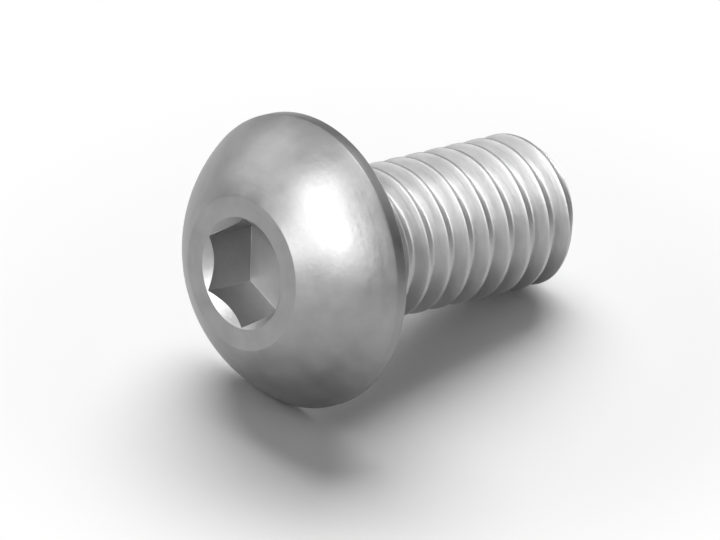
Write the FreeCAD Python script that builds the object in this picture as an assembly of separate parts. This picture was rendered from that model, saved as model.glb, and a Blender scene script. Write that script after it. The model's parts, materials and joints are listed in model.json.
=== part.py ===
import FreeCAD, Part
import os
from math import atan, ceil, cos, degrees, radians, sin, sqrt, tan

from FreeCAD import Placement, Rotation, Vector

# A metric button head socket screw, cold formed and thread rolled from one piece of steel.
# It is modelled along its own axis and then laid down, as it would come to rest on a table.
# Own axis: +Z runs from the head to the tip, Z = 0 is the flat underside of the head, and +X is
# the side that ends up facing the table.
# Lengths are in millimetres and angles in degrees.

# Shank and thread
THREAD_DIAMETER = 4.0
THREAD_PITCH = 0.7
THREAD_ANGLE = 60.0  # between the two flanks of one ridge
CREST_ALLOWANCE = 0.011  # how far the rolled crests stay inside the thread's full radius
SHANK_LENGTH = 8.0  # from the underside of the head to the tip
NECK_LENGTH = 0.6  # plain, at the full diameter
NECK_FILLET = 0.2
RUNOUT_LENGTH = 0.7  # over which the thread fades into the neck
TIP_CHAMFER = 0.54  # how much the tip is smaller than the thread, on the radius
TIP_CHAMFER_ANGLE = 45.0  # from the axis
CREST_HEIGHT = 0.634  # of one crest's middle above the head's underside, on the resting side

# Head
HEAD_DIAMETER = 7.6
HEAD_HEIGHT = 2.2
RIM_HEIGHT = 0.34  # upright band below the dome
TOP_DIAMETER = 4.0  # flat ring around the socket

# Hexagon socket
SOCKET_WIDTH = 2.5  # across flats
SOCKET_DEPTH = 1.5
SOCKET_TURN = 46.2  # of the hexagon's first corner, from the resting side
MOUTH_DIAMETER = 2.92  # of the socket's countersink, a little over the hexagon's corners
MOUTH_ANGLE = 45.0  # from the axis
THROAT_MARGIN = 0.1  # how far inside the flats the countersink's cone ends

# Worked out from the sizes above
THREAD_RADIUS = THREAD_DIAMETER / 2
CREST_RADIUS = THREAD_RADIUS - CREST_ALLOWANCE
TRIANGLE_HEIGHT = THREAD_PITCH / 2 / tan(radians(THREAD_ANGLE / 2))
THREAD_DEPTH = TRIANGLE_HEIGHT * 5 / 8
ROOT_RADIUS = THREAD_RADIUS - THREAD_DEPTH
CREST_WIDTH = THREAD_PITCH / 8
TIP_RADIUS = THREAD_RADIUS - TIP_CHAMFER
HEAD_RADIUS = HEAD_DIAMETER / 2
TOP_RADIUS = TOP_DIAMETER / 2
THREAD_START = NECK_LENGTH + RUNOUT_LENGTH
OVERRUN = THREAD_PITCH  # how far a cutting shape reaches past what it cuts
NO_TAPER = 0.0


def line(start, end):
    return Part.LineSegment(start, end).toShape()


def turned(edges):
    """The solid made by turning a closed outline in the XZ plane about the Z axis."""
    return Part.Face(Part.Wire(edges)).revolve(Vector(0, 0, 0), Vector(0, 0, 1), 360)


def at(radius, height):
    return Vector(radius, 0, height)


def outline(corners):
    """Straight edges from each corner to the next and back to the first."""
    return [line(a, b) for a, b in zip(corners, corners[1:] + corners[:1])]


def dome(top, rim):
    """The arc of the dome, from the flat ring's edge to the rim's, with its centre on the axis."""
    gap = rim.z - top.z
    centre_height = (rim.z + top.z) / 2 + (rim.x**2 - top.x**2) / (2 * gap)
    radius = sqrt(top.x**2 + (top.z - centre_height) ** 2)
    # the angles of both ends, measured from the outward direction towards the head's top
    first = atan((centre_height - top.z) / top.x)
    last = atan((centre_height - rim.z) / rim.x)
    middle = (first + last) / 2
    half_way = at(radius * cos(middle), centre_height - radius * sin(middle))
    return Part.Arc(top, half_way, rim).toShape()


def fillet(start, corner, end, radius):
    """A quarter circle that fills a square inside corner."""
    centre = start + end - corner
    towards = corner - centre
    half_way = centre + towards * (radius / towards.Length)
    return Part.Arc(start, half_way, end).toShape()


def blank():
    """Head, neck and the shank's core, as one turned body without thread or socket."""
    top = at(TOP_RADIUS, -HEAD_HEIGHT)
    rim_front = at(HEAD_RADIUS, -RIM_HEIGHT)
    rim_back = at(HEAD_RADIUS, 0)
    corner = at(THREAD_RADIUS, 0)
    seat_edge = at(THREAD_RADIUS + NECK_FILLET, 0)
    neck_start = at(THREAD_RADIUS, NECK_FILLET)
    neck_end = at(THREAD_RADIUS, NECK_LENGTH)
    core_start = at(ROOT_RADIUS, THREAD_START)
    core_end = at(ROOT_RADIUS, SHANK_LENGTH + OVERRUN)
    return turned(
        [
            line(at(0, -HEAD_HEIGHT), top),
            dome(top, rim_front),
            line(rim_front, rim_back),
            line(rim_back, seat_edge),
            fillet(seat_edge, corner, neck_start, NECK_FILLET),
            line(neck_start, neck_end),
            line(neck_end, core_start),
            line(core_start, core_end),
            line(core_end, at(0, SHANK_LENGTH + OVERRUN)),
            line(at(0, SHANK_LENGTH + OVERRUN), at(0, -HEAD_HEIGHT)),
        ]
    )


def ridge():
    """The thread's ridge, from inside the neck to past the tip, with its foot sunk in the core."""
    slope = tan(radians(THREAD_ANGLE / 2))
    foot_radius = ROOT_RADIUS - THREAD_DEPTH / 4
    half_crest = CREST_WIDTH / 2 + CREST_ALLOWANCE * slope
    half_foot = half_crest + (CREST_RADIUS - foot_radius) * slope
    # whole turns below the crest height that is asked for, so that the start is hidden in the neck
    turns_down = ceil((CREST_HEIGHT - NECK_LENGTH + half_foot) / THREAD_PITCH)
    start = CREST_HEIGHT - turns_down * THREAD_PITCH
    turns = ceil((SHANK_LENGTH + OVERRUN - start) / THREAD_PITCH)
    section = Part.Wire(
        outline(
            [
                at(foot_radius, start - half_foot),
                at(CREST_RADIUS, start - half_crest),
                at(CREST_RADIUS, start + half_crest),
                at(foot_radius, start + half_foot),
            ]
        )
    )
    path = Part.makeLongHelix(THREAD_PITCH, turns * THREAD_PITCH, CREST_RADIUS, NO_TAPER)
    path.translate(Vector(0, 0, start))
    return path.makePipeShell([section], True, True)


def past_the_tip():
    """What the tip's end face and chamfer leave out, reaching past the shank on all sides."""
    reach = THREAD_RADIUS + OVERRUN
    chamfer_rise = (reach - TIP_RADIUS) / tan(radians(TIP_CHAMFER_ANGLE))
    far_end = SHANK_LENGTH + 2 * OVERRUN
    corners = [
        at(0, SHANK_LENGTH),
        at(TIP_RADIUS, SHANK_LENGTH),
        at(reach, SHANK_LENGTH - chamfer_rise),
        at(reach, far_end),
        at(0, far_end),
    ]
    return turned(outline(corners))


def socket():
    """The hexagon prism and the countersink at its mouth, both standing a little out of the head."""
    corner_radius = SOCKET_WIDTH / sqrt(3)
    floor_height = SOCKET_DEPTH - HEAD_HEIGHT
    angles = [radians(SOCKET_TURN + 60 * k) for k in range(6)]
    corners = [
        Vector(corner_radius * cos(a), corner_radius * sin(a), floor_height) for a in angles
    ]
    prism = Part.Face(Part.Wire(outline(corners))).extrude(
        Vector(0, 0, -SOCKET_DEPTH - OVERRUN)
    )
    widening = tan(radians(MOUTH_ANGLE))
    outside = MOUTH_DIAMETER / 2 + OVERRUN * widening
    inside = SOCKET_WIDTH / 2 - THROAT_MARGIN
    height = (outside - inside) / widening
    countersink = Part.makeCone(
        outside, inside, height, Vector(0, 0, -HEAD_HEIGHT - OVERRUN)
    )
    return prism.fuse(countersink)


def rest_tilt(body):
    """How far the tip dips when the head's rim and the thread, on the resting side, touch the table."""
    half_plane = Part.Face(
        Part.Wire(
            outline([at(0, 0), at(HEAD_RADIUS, 0), at(HEAD_RADIUS, SHANK_LENGTH), at(0, SHANK_LENGTH)])
        )
    )
    corners = [vertex.Point for vertex in body.common(half_plane).Vertexes]
    slopes = [(HEAD_RADIUS - corner.x) / corner.z for corner in corners if corner.z > NECK_LENGTH]
    return degrees(atan(min(slopes)))


def screw():
    body = blank().fuse(ridge()).cut(past_the_tip()).cut(socket()).Solids[0]
    # the tip turns from straight up to forwards and dips, which brings the resting side down
    body.Placement = Placement(Vector(0, 0, 0), Rotation(Vector(0, 1, 0), 90 + rest_tilt(body)))
    box = body.optimalBoundingBox(False)
    body.translate(Vector(-box.Center.x, -box.Center.y, -box.ZMin))
    return body


os.makedirs("parts", exist_ok=True)
screw().exportStep(os.path.join("parts", "screw.step"))
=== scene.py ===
import json
from math import cos, pi, radians, sin, sqrt, tan

import bmesh
import bpy
from mathutils import Matrix, Vector


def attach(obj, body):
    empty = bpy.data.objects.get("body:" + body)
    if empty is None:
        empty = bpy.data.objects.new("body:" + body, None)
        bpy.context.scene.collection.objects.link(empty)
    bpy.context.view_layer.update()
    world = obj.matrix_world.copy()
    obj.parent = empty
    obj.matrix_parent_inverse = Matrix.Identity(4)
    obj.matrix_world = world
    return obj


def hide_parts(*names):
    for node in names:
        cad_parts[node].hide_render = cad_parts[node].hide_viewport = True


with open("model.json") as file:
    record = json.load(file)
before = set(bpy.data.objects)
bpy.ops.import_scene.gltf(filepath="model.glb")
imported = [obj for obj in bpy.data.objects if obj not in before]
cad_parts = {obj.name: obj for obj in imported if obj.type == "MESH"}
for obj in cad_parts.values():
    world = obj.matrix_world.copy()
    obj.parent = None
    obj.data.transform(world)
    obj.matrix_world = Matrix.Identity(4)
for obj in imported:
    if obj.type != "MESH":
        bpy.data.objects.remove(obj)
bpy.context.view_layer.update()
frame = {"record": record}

# The screw is shaped along its own axis, in millimetres and degrees: +Z runs from the head to the
# tip, Z = 0 is the flat underside of the head, and +X is the side that faces the table. It is then
# laid where the frame's mounts say.
MM = 0.001
MOUNTS = {mount["name"]: mount for mount in frame["record"]["mounts"]}
SEAT = Vector(MOUNTS["head_seat"]["pos_m"])
TO_TIP = Vector(MOUNTS["head_seat"]["axis"]).normalized()

# Shank and thread
THREAD_RADIUS = MOUNTS["thread"]["dims"]["r_mm"]
SHANK_LENGTH = (Vector(MOUNTS["thread"]["pos_m"]) - SEAT).length / MM
PITCH = 0.7
FLANK_ANGLE = 30.0  # of each flank from the radius
CREST_ALLOWANCE = 0.011  # how far the rolled crests stay inside the thread's full radius
NECK_LENGTH = 0.6
NECK_FILLET = 0.2
RUNOUT_LENGTH = 0.7  # over which the thread fades into the neck
TIP_CHAMFER = 0.54  # how much the tip is smaller than the thread, on the radius
TIP_CHAMFER_ANGLE = 45.0  # from the axis
CREST_HEIGHT = 0.634  # of one crest's middle above the head's underside, on the resting side

# Head and socket
HEAD_RADIUS = 3.8
HEAD_HEIGHT = (Vector(MOUNTS["hex_socket"]["pos_m"]) - SEAT).length / MM
RIM_HEIGHT = 0.34  # upright band below the dome
TOP_RADIUS = 2.0  # of the flat ring around the socket
SOCKET_WIDTH = 2.5  # across flats
SOCKET_DEPTH = MOUNTS["hex_socket"]["dims"]["length_mm"]
SOCKET_TURN = 46.2  # of the hexagon's first corner, from the resting side
MOUTH_RADIUS = 1.46  # of the socket's countersink
MOUTH_ANGLE = 45.0  # from the axis

# Small roundings that forming leaves on the edges, as the length taken off each side
SEAT_ROUNDING = 0.05
RIM_ROUNDING = 0.025
TOP_ROUNDING = 0.018
MOUTH_ROUNDING = 0.005
SOCKET_ROUNDING = 0.012
CREST_ROUNDING = 0.015
ROOT_ROUNDING = 0.05
TIP_ROUNDING = 0.035

# The tip's end face is pulled in a little at its middle, as thread rolling leaves it
TIP_DISH_RADIUS = 1.0
TIP_DISH_DEPTH = 0.07
TIP_DISH_SLOPE = 3.0  # how many times as far its wall runs inwards as down
TIP_BAND = 0.1  # length of the tip's last plain stretch of chamfer

# Steps round the axis: a multiple of six, so that the hexagon's corners fall on one
STEPS = 144
DOME_STEPS = 28
ROUNDING_STEPS = 4
CREST_ROUNDING_STEPS = 3
FLANK_CUTS = 3  # that divide each flank of the thread
TURNS_BEFORE = 2  # turns of thread that start inside the head, to be cut away
TURNS_AFTER = 1  # turns of thread past the tip, to be cut away
SAME_PLACE = 1e-3  # places nearer than this are one
ON_THE_CUT = 1e-6  # corners nearer than this to a cutting plane are on it
SHARP_FROM = 32  # edges of at least this angle are shaded sharp

# Worked out from the sizes above
CREST_RADIUS = THREAD_RADIUS - CREST_ALLOWANCE
FLANK_SLOPE = tan(radians(FLANK_ANGLE))
# the basic profile is 5/8 of a sharp ridge's height deep, and its crest is 1/8 of a pitch wide
THREAD_DEPTH = PITCH / 2 / FLANK_SLOPE * 5 / 8
CREST_WIDTH = PITCH / 8
ROOT_RADIUS = THREAD_RADIUS - THREAD_DEPTH
RUNOUT_SLOPE = THREAD_DEPTH / RUNOUT_LENGTH
TIP_RADIUS = THREAD_RADIUS - TIP_CHAMFER
CHAMFER_SLOPE = tan(radians(TIP_CHAMFER_ANGLE))
MOUTH_SLOPE = tan(radians(MOUTH_ANGLE))
MOUTH_START = 2 * MOUTH_ROUNDING  # how deep the countersink is turned, before it is punched on
AROUND = 2 * pi * THREAD_RADIUS  # the shank's circumference
FIRST_STEP = radians(SOCKET_TURN)
SIDE = Vector((0, 1, 0))
TO_FRAME = Matrix((SIDE.cross(TO_TIP), SIDE, TO_TIP)).transposed()

# The steel has four finishes. Each drifts in soft clouds between two tones, here in sRGB, and in
# roughness between two values.
HEADED, ROLLED, PUNCHED, SHEARED = range(4)
HEADED_TONES = ("#919191", "#9D9D9D")
HEADED_ROUGHNESS = (0.41, 0.51)
# the thread's tones are lighter than the head's, partly for burnish and partly as painted light
# that brightens the whole thread
ROLLED_TONES_WITH_PAINTED_LIGHT = ("#BBBBBB", "#C5C5C5")
ROLLED_ROUGHNESS = (0.44, 0.56)
PUNCHED_TONES = ("#9F9F9F", "#A9A9A9")
PUNCHED_ROUGHNESS = (0.36, 0.50)
SHEARED_ROUGHNESS = (0.44, 0.56)
CLOUD_RANGE = (0.3, 0.7)  # the clouds' values at the two tones
UNEVEN_RANGE = (0.6, 1.4)  # the values of clouds and marks together at the two roughnesses

# Marks in the steel. The real ones are guessed to be about four times as fine, which is mostly
# too fine for the picture's pixels of 0.025 mm, so they are drawn coarse enough to show.
CLOUD_SIZE = 0.7
DENT_SIZE = 0.15
DENT_DEPTH = 0.0045
DIE_RING_WIDTH = 0.1
DIE_RING_LENGTH = 3.0
DIE_RING_DEPTH = 0.003
ROLLED_LINE_WIDTH = 0.07
ROLLED_LINE_LENGTH = 1.5
ROLLED_LINE_DEPTH = 0.004
PUNCHED_LINE_WIDTH = 0.08
PUNCHED_LINE_LENGTH = 1.2
PUNCHED_LINE_DEPTH = 0.006
SHEARED_GRAIN_SIZE = 0.25
SHEARED_GRAIN_DEPTH = 0.012

# How many finer layers of noise each kind of mark has
CLOUD_DETAIL = 3.0
GRAIN_DETAIL = 2.0
LINE_DETAIL = 1.0

# The picture is a parallel view. Its scale and the pixel of the seat's centre were measured.
IMAGE_WIDTH = 720
IMAGE_HEIGHT = 540
PIXELS_PER_MM = 39.37
SEAT_PIXEL = (304.18, 258.26)
VIEW_AZIMUTH = radians(-41.511)
VIEW_ELEVATION = radians(34.835)
VIEW_DISTANCE = 60 * MM

# Table, card, lamps and room, in metres
WHITE = "#FFFFFF"
PAPER_TONE = "#F4F4F4"
PAPER_ROUGHNESS = 0.9
PAPER_SPECULAR = 0.1
TABLE_REACH = 1.0
FADE_START = 0.0075
FADE_END = 0.013
CARD_TONE = "#101010"
CARD_ROUGHNESS = 1.0
CARD_AZIMUTH = -44  # in degrees, as the lamps' are
CARD_DISTANCE = 0.018
CARD_WIDTH = 0.016
CARD_HEIGHT = 0.010
LAMP_DISTANCE = 0.3
ROOM_LIGHT = 0.23
CAMERA_REACH = 10.0


def chain(bm, corners):
    """Edges from one corner to the next; a corner is (x, y, z)."""
    verts = [bm.verts.new(corner) for corner in corners]
    for start, end in zip(verts, verts[1:]):
        bm.edges.new((start, end))
    return verts


def round_off(bm, parts, rounding, steps, kind):
    """Rounds corners of a chain or edges of a surface."""
    bmesh.ops.bevel(
        bm,
        geom=parts,
        offset=rounding,
        offset_type="OFFSET",
        segments=steps,
        profile=0.5,
        affect=kind,
        clamp_overlap=True,
        material=-1,
    )


def turn_round(bm):
    """Spins the chain in the XZ half-plane round the Z axis, from the hexagon's first corner."""
    everything = bm.verts[:] + bm.edges[:]
    bmesh.ops.rotate(bm, verts=bm.verts[:], matrix=Matrix.Rotation(FIRST_STEP, 3, "Z"))
    bmesh.ops.spin(
        bm,
        geom=everything,
        cent=(0, 0, 0),
        axis=(0, 0, 1),
        angle=2 * pi,
        steps=STEPS,
        use_merge=True,
        use_duplicate=False,
    )


def head():
    """Neck, underside, rim, dome and flat ring, turned round, and the socket punched into them."""
    bm = bmesh.new()
    rise = HEAD_HEIGHT - RIM_HEIGHT
    centre_height = (HEAD_RADIUS**2 - TOP_RADIUS**2) / (2 * rise) - (HEAD_HEIGHT + RIM_HEIGHT) / 2
    centre = Vector((0, 0, centre_height))
    rim = Vector((HEAD_RADIUS, 0, -RIM_HEIGHT))
    ring = Vector((TOP_RADIUS, 0, -HEAD_HEIGHT))
    _, fillet, seat, rim_edge = chain(
        bm,
        [
            (THREAD_RADIUS, 0, NECK_LENGTH),
            (THREAD_RADIUS, 0, 0),
            (HEAD_RADIUS, 0, 0),
            rim,
        ],
    )
    dome = bmesh.ops.spin(
        bm,
        geom=[rim_edge],
        cent=centre,
        axis=(0, 1, 0),
        angle=(rim - centre).angle(ring - centre),
        steps=DOME_STEPS,
        use_duplicate=False,
    )
    ring_edge = dome["geom_last"][0]
    mouth, _ = chain(
        bm,
        [
            (MOUTH_RADIUS, 0, -HEAD_HEIGHT),
            (MOUTH_RADIUS - MOUTH_START * MOUTH_SLOPE, 0, MOUTH_START - HEAD_HEIGHT),
        ],
    )
    bm.edges.new((ring_edge, mouth))
    for corner, rounding in (
        (fillet, NECK_FILLET),
        (seat, SEAT_ROUNDING),
        (rim_edge, RIM_ROUNDING),
        (ring_edge, TOP_ROUNDING),
        (mouth, MOUTH_ROUNDING),
    ):
        round_off(bm, [corner], rounding, ROUNDING_STEPS, "VERTICES")
    turn_round(bm)
    punch_socket(bm)
    return bm


def loop_at(bm, height):
    """The open edges at a height on the axis."""
    return [
        edge
        for edge in bm.edges
        if edge.is_boundary and all(abs(vert.co.z - height) < SAME_PLACE for vert in edge.verts)
    ]


def drawn_from(bm, edges):
    """Extrudes a loop of edges and returns the new edges and vertices."""
    made = bmesh.ops.extrude_edge_only(bm, edges=edges)["geom"]
    return (
        [part for part in made if isinstance(part, bmesh.types.BMEdge)],
        [part for part in made if isinstance(part, bmesh.types.BMVert)],
    )


def punch_socket(bm):
    """Draws the mouth's open loop down the countersink to the hexagon, and on to the flat floor."""
    apothem = SOCKET_WIDTH / 2
    mouth = loop_at(bm, MOUTH_START - HEAD_HEIGHT)
    crescents, verts = drawn_from(bm, mouth)
    for vert in verts:
        angle = Vector(vert.co.xy).angle_signed(Vector((cos(FIRST_STEP), sin(FIRST_STEP))))
        flat_angle = (angle % (pi / 3)) - pi / 6
        radius = apothem / cos(flat_angle)
        sunk = (MOUTH_RADIUS - radius) / MOUTH_SLOPE
        vert.co = Vector((*(vert.co.xy.normalized() * radius), sunk - HEAD_HEIGHT))
    floor, verts = drawn_from(bm, crescents)
    for vert in verts:
        vert.co.z = SOCKET_DEPTH - HEAD_HEIGHT
    bmesh.ops.contextual_create(bm, geom=floor)
    corner = SOCKET_WIDTH / sqrt(3) - SAME_PLACE
    uprights = [
        edge
        for vert in verts
        if vert.co.xy.length > corner
        for edge in vert.link_edges
        if edge not in floor
    ]
    round_off(bm, uprights + floor, SOCKET_ROUNDING, ROUNDING_STEPS, "EDGES")
    # a fan from the floor's middle, because corners in one line would make empty triangles
    bmesh.ops.poke(bm, faces=[max(bm.faces, key=lambda face: len(face.verts))])


def thread():
    """The rolled thread with its run-out and the tip's chamfer.

    It is shaped unrolled, with X along the circumference, Y along the screw's axis and Z as the
    radius: there a ridge is straight, and a cone round the axis is a plane.
    """
    bm = bmesh.new()
    draw_ridges(bm)
    bmesh.ops.spin(
        bm,
        geom=bm.verts[:] + bm.edges[:],
        cent=(0, 0, 0),
        axis=(0, 0, 1),
        dvec=(AROUND / STEPS, PITCH / STEPS, 0),
        angle=0.0,
        steps=STEPS,
        use_duplicate=False,
    )
    shape_ends(bm)
    roll_up(bm)
    return bm


def draw_ridges(bm):
    """The outline across all the turns, with rounded crests and roots."""
    half_crest = CREST_WIDTH / 2 + CREST_ALLOWANCE * FLANK_SLOPE
    half_foot = half_crest + (CREST_RADIUS - ROOT_RADIUS) * FLANK_SLOPE
    # the surface is unrolled from the hexagon's first corner, where a crest has climbed this far
    climb = PITCH * SOCKET_TURN / 360
    first = CREST_HEIGHT + climb - TURNS_BEFORE * PITCH
    corners = []
    for turn in range(TURNS_BEFORE + round(SHANK_LENGTH / PITCH) + TURNS_AFTER):
        middle = first + turn * PITCH
        corners += [
            (0, middle - half_foot, ROOT_RADIUS),
            (0, middle - half_crest, CREST_RADIUS),
            (0, middle + half_crest, CREST_RADIUS),
            (0, middle + half_foot, ROOT_RADIUS),
        ]
    verts = chain(bm, corners)
    feet = [vert for vert in verts[1:-1] if vert.co.z < CREST_RADIUS - SAME_PLACE]
    crests = [vert for vert in verts if vert.co.z > CREST_RADIUS - SAME_PLACE]
    round_off(bm, crests, CREST_ROUNDING, CREST_ROUNDING_STEPS, "VERTICES")
    round_off(bm, feet, ROOT_ROUNDING, ROUNDING_STEPS, "VERTICES")
    flanks = [edge for edge in bm.edges if edge.calc_length() > THREAD_DEPTH / 2]
    bmesh.ops.subdivide_edges(bm, edges=flanks, cuts=FLANK_CUTS)


def shape_ends(bm):
    """Cuts off what lies in the head or past the tip, fills the grooves up to the run-out's cone
    and takes the ridges down to the chamfer's."""
    tip_start = SHANK_LENGTH - TIP_BAND
    cut(bm, (0, NECK_LENGTH, 0), (0, -1, 0), clear=True)
    cut(bm, (0, tip_start, 0), (0, 1, 0), clear=True)
    cut(bm, (0, NECK_LENGTH, THREAD_RADIUS), (0, RUNOUT_SLOPE, 1))
    cut(bm, (0, SHANK_LENGTH, TIP_RADIUS), (0, CHAMFER_SLOPE, 1))
    for vert in bm.verts:
        along = vert.co.y
        vert.co.z = max(vert.co.z, THREAD_RADIUS - (along - NECK_LENGTH) * RUNOUT_SLOPE)
        vert.co.z = min(vert.co.z, TIP_RADIUS + (SHANK_LENGTH - along) * CHAMFER_SLOPE)
        if min(abs(along - NECK_LENGTH), abs(along - tip_start)) < SAME_PLACE:
            # both ends get the head's and the tip's own steps, so that they join without gaps
            vert.co.x = round(vert.co.x / AROUND * STEPS) * AROUND / STEPS


def cut(bm, point, outwards, clear=False):
    """Cuts the surface along a plane and, if asked to, takes away what lies outwards of it."""
    bmesh.ops.bisect_plane(
        bm,
        geom=bm.verts[:] + bm.edges[:] + bm.faces[:],
        dist=ON_THE_CUT,
        plane_co=point,
        plane_no=Vector(outwards).normalized(),
        clear_outer=clear,
    )


def roll_up(bm):
    """Rolls the flat thread up round the screw's axis."""
    for vert in bm.verts:
        angle = FIRST_STEP + vert.co.x / THREAD_RADIUS
        along, radius = vert.co.yz
        vert.co = (radius * cos(angle), radius * sin(angle), along)


def tip():
    """The end of the chamfer and the end face, with its shallow dish."""
    bm = bmesh.new()
    dish_floor = SHANK_LENGTH - TIP_DISH_DEPTH
    verts = chain(
        bm,
        [
            (TIP_RADIUS + TIP_BAND * CHAMFER_SLOPE, 0, SHANK_LENGTH - TIP_BAND),
            (TIP_RADIUS, 0, SHANK_LENGTH),
            (TIP_DISH_RADIUS, 0, SHANK_LENGTH),
            (TIP_DISH_RADIUS - TIP_DISH_DEPTH * TIP_DISH_SLOPE, 0, dish_floor),
            (0, 0, dish_floor),
        ],
    )
    for vert, rounding in zip(verts[1:], (TIP_ROUNDING, TIP_DISH_DEPTH, TIP_DISH_DEPTH)):
        round_off(bm, [vert], rounding, ROUNDING_STEPS, "VERTICES")
    turn_round(bm)
    return bm


def joined(parts):
    """One closed surface from several that meet edge to edge."""
    bm = bmesh.new()
    for part in parts:
        mesh = bpy.data.meshes.new("part")
        part.to_mesh(mesh)
        part.free()
        bm.from_mesh(mesh)
        bpy.data.meshes.remove(mesh)
    bmesh.ops.remove_doubles(bm, verts=bm.verts[:], dist=SAME_PLACE)
    bmesh.ops.recalc_face_normals(bm, faces=bm.faces[:])
    return bm


def linear(hex_colour):
    """An sRGB hex colour as the linear numbers that a shader takes."""
    tones = [int(hex_colour[place : place + 2], 16) / 255 for place in (1, 3, 5)]
    return tuple(
        tone / 12.92 if tone <= 0.04045 else ((tone + 0.055) / 1.055) ** 2.4 for tone in tones
    ) + (1.0,)


def add(tree, kind, settings, inputs):
    """Adds a node. An input is a value, or the output of another node to be linked from."""
    made = tree.nodes.new(kind)
    for name, value in settings.items():
        setattr(made, name, value)
    for name, value in inputs.items():
        if isinstance(value, bpy.types.NodeSocket):
            tree.links.new(value, made.inputs[name])
        else:
            made.inputs[name].default_value = value
    return made


def material_of(name):
    """A new material, its nodes and its Principled shader."""
    material = bpy.data.materials.new(name)
    material.use_nodes = True
    tree = material.node_tree
    return material, tree, tree.nodes["Principled BSDF"]


def on_the_screw(tree):
    """Place on the screw's own axes, in millimetres, and the distance from its axis."""
    place = add(tree, "ShaderNodeTexCoord", {}, {}).outputs["Object"]
    own = add(
        tree,
        "ShaderNodeMapping",
        {"vector_type": "TEXTURE"},
        {
            "Vector": place,
            "Location": SEAT,
            "Rotation": TO_FRAME.to_euler(),
            "Scale": (MM, MM, MM),
        },
    ).outputs["Vector"]
    flat = add(
        tree,
        "ShaderNodeVectorMath",
        {"operation": "MULTIPLY"},
        {0: own, 1: (1, 1, 0)},
    ).outputs["Vector"]
    radius = add(tree, "ShaderNodeVectorMath", {"operation": "LENGTH"}, {0: flat}).outputs["Value"]
    return own, radius


def lines_round_the_axis(tree, own, radius, width, length):
    """Noise in fine lines that run round the axis: each radius has its own value."""
    across = add(
        tree, "ShaderNodeMath", {"operation": "MULTIPLY"}, {0: radius, 1: length / width}
    ).outputs["Value"]
    return add(
        tree,
        "ShaderNodeTexNoise",
        {"noise_dimensions": "4D"},
        {"Vector": own, "W": across, "Scale": 1 / length, "Detail": LINE_DETAIL},
    ).outputs["Fac"]


def die_rings(tree, own, radius):
    """Faint rings, printed by the turned inside of the die."""
    return lines_round_the_axis(tree, own, radius, DIE_RING_WIDTH, DIE_RING_LENGTH)


def rolled_lines(tree, own, radius):
    """Fine lines along the thread, from the dies that slid over it."""
    return lines_round_the_axis(tree, own, radius, ROLLED_LINE_WIDTH, ROLLED_LINE_LENGTH)


def punched_lines(tree, own, radius):
    """Streaks along the axis, wiped by the punch."""
    drawn = add(
        tree,
        "ShaderNodeVectorMath",
        {"operation": "MULTIPLY"},
        {0: own, 1: (1 / PUNCHED_LINE_WIDTH, 1 / PUNCHED_LINE_WIDTH, 1 / PUNCHED_LINE_LENGTH)},
    ).outputs["Vector"]
    return add(
        tree, "ShaderNodeTexNoise", {}, {"Vector": drawn, "Detail": LINE_DETAIL}
    ).outputs["Fac"]


def sheared_grain(tree, own, radius):
    """The coarse grain of a torn and flattened end."""
    return add(
        tree,
        "ShaderNodeTexNoise",
        {},
        {"Vector": own, "Scale": 1 / SHEARED_GRAIN_SIZE, "Detail": GRAIN_DETAIL},
    ).outputs["Fac"]


def steel(name, tones, marks, depth, roughness):
    """Plain steel with the small dents of tumbling. marks gives the pattern that its forming
    left, depth is that pattern's in millimetres, and tones and roughness are ends of a range."""
    material, tree, shader = material_of(name)
    own, radius = on_the_screw(tree)
    clouds = add(
        tree,
        "ShaderNodeTexNoise",
        {},
        {"Vector": own, "Scale": 1 / CLOUD_SIZE, "Detail": CLOUD_DETAIL},
    ).outputs["Fac"]
    tone = add(tree, "ShaderNodeValToRGB", {}, {"Fac": clouds})
    for stop, place, shade in zip(tone.color_ramp.elements, CLOUD_RANGE, tones):
        stop.position = place
        stop.color = linear(shade)
    pattern = marks(tree, own, radius)
    uneven = add(
        tree, "ShaderNodeMath", {"operation": "ADD"}, {0: pattern, 1: clouds}
    ).outputs["Value"]
    gloss = add(
        tree,
        "ShaderNodeMapRange",
        {},
        {
            "Value": uneven,
            "From Min": UNEVEN_RANGE[0],
            "From Max": UNEVEN_RANGE[1],
            "To Min": roughness[0],
            "To Max": roughness[1],
        },
    ).outputs["Result"]
    dents = add(
        tree,
        "ShaderNodeTexNoise",
        {},
        {"Vector": own, "Scale": 1 / DENT_SIZE, "Detail": GRAIN_DETAIL},
    ).outputs["Fac"]
    dented = add(
        tree, "ShaderNodeBump", {}, {"Height": dents, "Distance": DENT_DEPTH * MM}
    ).outputs["Normal"]
    marked = add(
        tree,
        "ShaderNodeBump",
        {},
        {"Height": pattern, "Distance": depth * MM, "Normal": dented},
    ).outputs["Normal"]
    tree.links.new(tone.outputs["Color"], shader.inputs["Base Color"])
    tree.links.new(gloss, shader.inputs["Roughness"])
    tree.links.new(marked, shader.inputs["Normal"])
    shader.inputs["Metallic"].default_value = 1.0
    return material


def cold_headed_steel():
    """Steel wire pressed into a die: an even grey satin, with faint rings round the axis, and soft
    highlights that the tumbling dents break up."""
    return steel("cold_headed_steel", HEADED_TONES, die_rings, DIE_RING_DEPTH, HEADED_ROUGHNESS)


def rolled_thread_steel():
    """Steel squeezed up between sliding dies, which burnish it. Its tones are lighter than the
    head's, partly for the burnish and partly as painted light that brightens the whole thread; fine
    lines follow the thread and draw its highlights out along it."""
    return steel(
        "rolled_thread_steel", ROLLED_TONES_WITH_PAINTED_LIGHT, rolled_lines, ROLLED_LINE_DEPTH, ROLLED_ROUGHNESS
    )


def punched_socket_steel():
    """Steel wiped by a hexagon punch: streaks along the walls, glossier and less even."""
    return steel(
        "punched_socket_steel", PUNCHED_TONES, punched_lines, PUNCHED_LINE_DEPTH, PUNCHED_ROUGHNESS
    )


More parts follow.
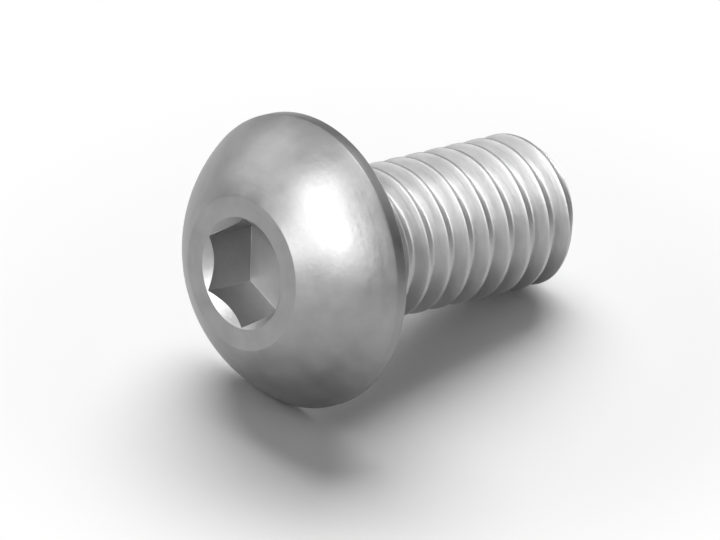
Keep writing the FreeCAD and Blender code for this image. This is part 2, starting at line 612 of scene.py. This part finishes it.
def sheared_tip_steel():
    """The cut end of the wire, pressed flatter by the rolling: a coarse and duller grain."""
    return steel(
        "sheared_tip_steel", HEADED_TONES, sheared_grain, SHEARED_GRAIN_DEPTH, SHEARED_ROUGHNESS
    )


def finish_at(radius, height):
    """Which of the four finishes a place has."""
    if height > SHANK_LENGTH - TIP_ROUNDING and radius < TIP_RADIUS - TIP_ROUNDING / 2:
        return SHEARED
    if height > NECK_LENGTH:
        return ROLLED
    if radius < MOUTH_RADIUS and MOUTH_ROUNDING / 2 - HEAD_HEIGHT < height < 0:
        return PUNCHED
    return HEADED


def object_from(bm, name, materials):
    """A finished surface as an object of the scene."""
    mesh = bpy.data.meshes.new(name)
    bm.to_mesh(mesh)
    bm.free()
    for material in materials:
        mesh.materials.append(material)
    made = bpy.data.objects.new(name, mesh)
    bpy.context.collection.objects.link(made)
    return made


def screw():
    """The whole screw, laid where the frame says, with each face in the finish of its place."""
    bm = joined([head(), thread(), tip()])
    for face in bm.faces:
        middle = face.calc_center_median()
        face.material_index = finish_at(middle.xy.length, middle.z)
    bm.transform(Matrix.Translation(SEAT) @ TO_FRAME.to_4x4() @ Matrix.Scale(MM, 4))
    # in the order of the finishes' numbers
    finishes = [
        cold_headed_steel(),
        rolled_thread_steel(),
        punched_socket_steel(),
        sheared_tip_steel(),
    ]
    body = object_from(bm, "screw_body", finishes)
    body.data.shade_smooth()
    body.data.set_sharp_from_angle(angle=radians(SHARP_FROM))
    # keeps the flat ring and the underside evenly shaded up to their rounded edges
    body.modifiers.new("even_shading", "WEIGHTED_NORMAL").keep_sharp = True
    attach(body, "root")
    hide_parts("screw")
    return body


def seen_ray(tree):
    """1 for the rays that show the background: the camera's, and those that a surface reflects or
    lets through."""
    rays = add(tree, "ShaderNodeLightPath", {}, {}).outputs
    total = rays["Is Camera Ray"]
    for kind in ("Is Glossy Ray", "Is Transmission Ray"):
        total = add(
            tree, "ShaderNodeMath", {"operation": "MAXIMUM"}, {0: total, 1: rays[kind]}
        ).outputs["Value"]
    return total


def paper_table():
    """A matte white table. Away from the screw it fades into a background that reads as white."""
    material, tree, shader = material_of("matte_white_paper")
    shader.inputs["Base Color"].default_value = linear(PAPER_TONE)
    shader.inputs["Roughness"].default_value = PAPER_ROUGHNESS
    shader.inputs["Specular IOR Level"].default_value = PAPER_SPECULAR
    place = add(tree, "ShaderNodeTexCoord", {}, {}).outputs["Object"]
    distance = add(
        tree, "ShaderNodeVectorMath", {"operation": "LENGTH"}, {0: place}
    ).outputs["Value"]
    fade = add(
        tree,
        "ShaderNodeMapRange",
        {"interpolation_type": "SMOOTHSTEP"},
        {"Value": distance, "From Min": FADE_START, "From Max": FADE_END},
    ).outputs["Result"]
    seen = add(
        tree, "ShaderNodeMath", {"operation": "MULTIPLY"}, {0: fade, 1: seen_ray(tree)}
    ).outputs["Value"]
    white = add(tree, "ShaderNodeEmission", {}, {"Color": linear(WHITE)}).outputs["Emission"]
    mixed = add(
        tree, "ShaderNodeMixShader", {}, {0: seen, 1: shader.outputs["BSDF"], 2: white}
    ).outputs["Shader"]
    tree.links.new(mixed, tree.nodes["Material Output"].inputs["Surface"])
    bm = bmesh.new()
    bmesh.ops.create_grid(bm, x_segments=1, y_segments=1, size=TABLE_REACH)
    table = object_from(bm, "table", [material])
    return table


def black_card():
    """A black card that stands on the table out of the picture, facing the screw. Steel is given
    its dark edges by what it reflects, and the card is what the rim reflects."""
    material, _, shader = material_of("matte_black_card")
    shader.inputs["Base Color"].default_value = linear(CARD_TONE)
    shader.inputs["Roughness"].default_value = CARD_ROUGHNESS
    bm = bmesh.new()
    # a unit square, stood up, sized and moved out along +Y, which is at 90 degrees
    upright = Matrix.Rotation(pi / 2, 4, "X")
    bmesh.ops.create_grid(bm, x_segments=1, y_segments=1, size=0.5, matrix=upright)
    bmesh.ops.scale(bm, verts=bm.verts[:], vec=(CARD_WIDTH, 1, CARD_HEIGHT))
    bmesh.ops.translate(bm, verts=bm.verts[:], vec=(0, CARD_DISTANCE, CARD_HEIGHT / 2))
    turn = Matrix.Rotation(radians(CARD_AZIMUTH - 90), 3, "Z")
    bmesh.ops.rotate(bm, verts=bm.verts[:], matrix=turn)
    card = object_from(bm, "card_by_the_rim", [material])
    card.visible_camera = False


def camera():
    """The picture's view, with the seat's centre at its pixel."""
    across, lift = VIEW_AZIMUTH, VIEW_ELEVATION
    right = Vector((cos(across), sin(across), 0))
    back = Vector((sin(across) * cos(lift), -cos(across) * cos(lift), sin(lift)))
    up = back.cross(right)
    data = bpy.data.cameras.new("camera")
    data.type = "ORTHO"
    data.ortho_scale = IMAGE_WIDTH / PIXELS_PER_MM * MM
    data.clip_start = MM
    data.clip_end = CAMERA_REACH
    rightwards = (SEAT_PIXEL[0] - (IMAGE_WIDTH - 1) / 2) / PIXELS_PER_MM * MM
    upwards = ((IMAGE_HEIGHT - 1) / 2 - SEAT_PIXEL[1]) / PIXELS_PER_MM * MM
    place = SEAT - right * rightwards - up * upwards + back * VIEW_DISTANCE
    seen_from = bpy.data.objects.new("camera", data)
    seen_from.matrix_world = (
        Matrix.Translation(place) @ Matrix((right, up, back)).transposed().to_4x4()
    )
    bpy.context.collection.objects.link(seen_from)
    bpy.context.scene.camera = seen_from


def room():
    """Dim even light from all round. Below the table's level it reads as white."""
    world = bpy.data.worlds.new("room")
    bpy.context.scene.world = world
    world.use_nodes = True
    tree = world.node_tree
    grey = tree.nodes["Background"]
    grey.inputs["Color"].default_value = linear(WHITE)
    grey.inputs["Strength"].default_value = ROOM_LIGHT
    place = add(tree, "ShaderNodeTexCoord", {}, {}).outputs["Generated"]
    height = add(tree, "ShaderNodeSeparateXYZ", {}, {"Vector": place}).outputs["Z"]
    below = add(
        tree, "ShaderNodeMath", {"operation": "LESS_THAN"}, {0: height, 1: 0.0}
    ).outputs["Value"]
    seen = add(
        tree, "ShaderNodeMath", {"operation": "MULTIPLY"}, {0: below, 1: seen_ray(tree)}
    ).outputs["Value"]
    white = add(tree, "ShaderNodeBackground", {}, {"Color": linear(WHITE)}).outputs[0]
    mixed = add(
        tree, "ShaderNodeMixShader", {}, {0: seen, 1: grey.outputs[0], 2: white}
    ).outputs["Shader"]
    tree.links.new(mixed, tree.nodes["World Output"].inputs["Surface"])


def softbox(name, lit, azimuth, elevation, spread, brightness):
    """A round soft lamp that faces the screw and is flagged off everything but the object lit.
    azimuth, from +X to +Y, elevation and spread, its half-angle, are in degrees as seen from the
    screw, and brightness 1 is that of white paper in full light."""
    turn, lift = radians(azimuth), radians(elevation)
    towards = Vector((cos(turn) * cos(lift), sin(turn) * cos(lift), sin(lift)))
    data = bpy.data.lights.new(name, "AREA")
    data.shape = "DISK"
    data.size = 2 * LAMP_DISTANCE * tan(radians(spread))
    data.energy = brightness * pi * pi * (data.size / 2) ** 2
    lamp = bpy.data.objects.new(name, data)
    lamp.location = Vector((0, 0, HEAD_RADIUS * MM)) + towards * LAMP_DISTANCE
    lamp.rotation_euler = towards.to_track_quat("Z", "Y").to_euler()
    bpy.context.collection.objects.link(lamp)
    lamp.light_linking.receiver_collection = bpy.data.collections.new(name + "_lights")
    lamp.light_linking.receiver_collection.objects.link(lit)


def lamps(body, table):
    """The key makes the dome's highlight, and the others carry the steel's tones on from it. The
    table has a lamp of its own, from behind the screw, so that its shadow falls to the front,
    where the lower half of the head reflects it and is darkened by it."""
    softbox("key", body, azimuth=-145, elevation=45, spread=8, brightness=23.5)
    softbox("right_of_the_key", body, azimuth=-128, elevation=30, spread=10, brightness=6.0)
    softbox("before_the_head", body, azimuth=180, elevation=25, spread=12, brightness=7.9)
    softbox("above_the_head", body, azimuth=180, elevation=65, spread=12, brightness=11.8)
    softbox("above_the_tip", body, azimuth=0, elevation=65, spread=12, brightness=9.0)
    softbox("tip_side", body, azimuth=4, elevation=4, spread=9, brightness=6.2)
    softbox("back", body, azimuth=100, elevation=34, spread=22, brightness=1.9)
    softbox("over_the_table", table, azimuth=48, elevation=50, spread=28, brightness=4.84)


body = screw()
table = paper_table()
camera()
room()
lamps(body, table)
black_card()
bpy.context.scene.view_settings.view_transform = "Standard"
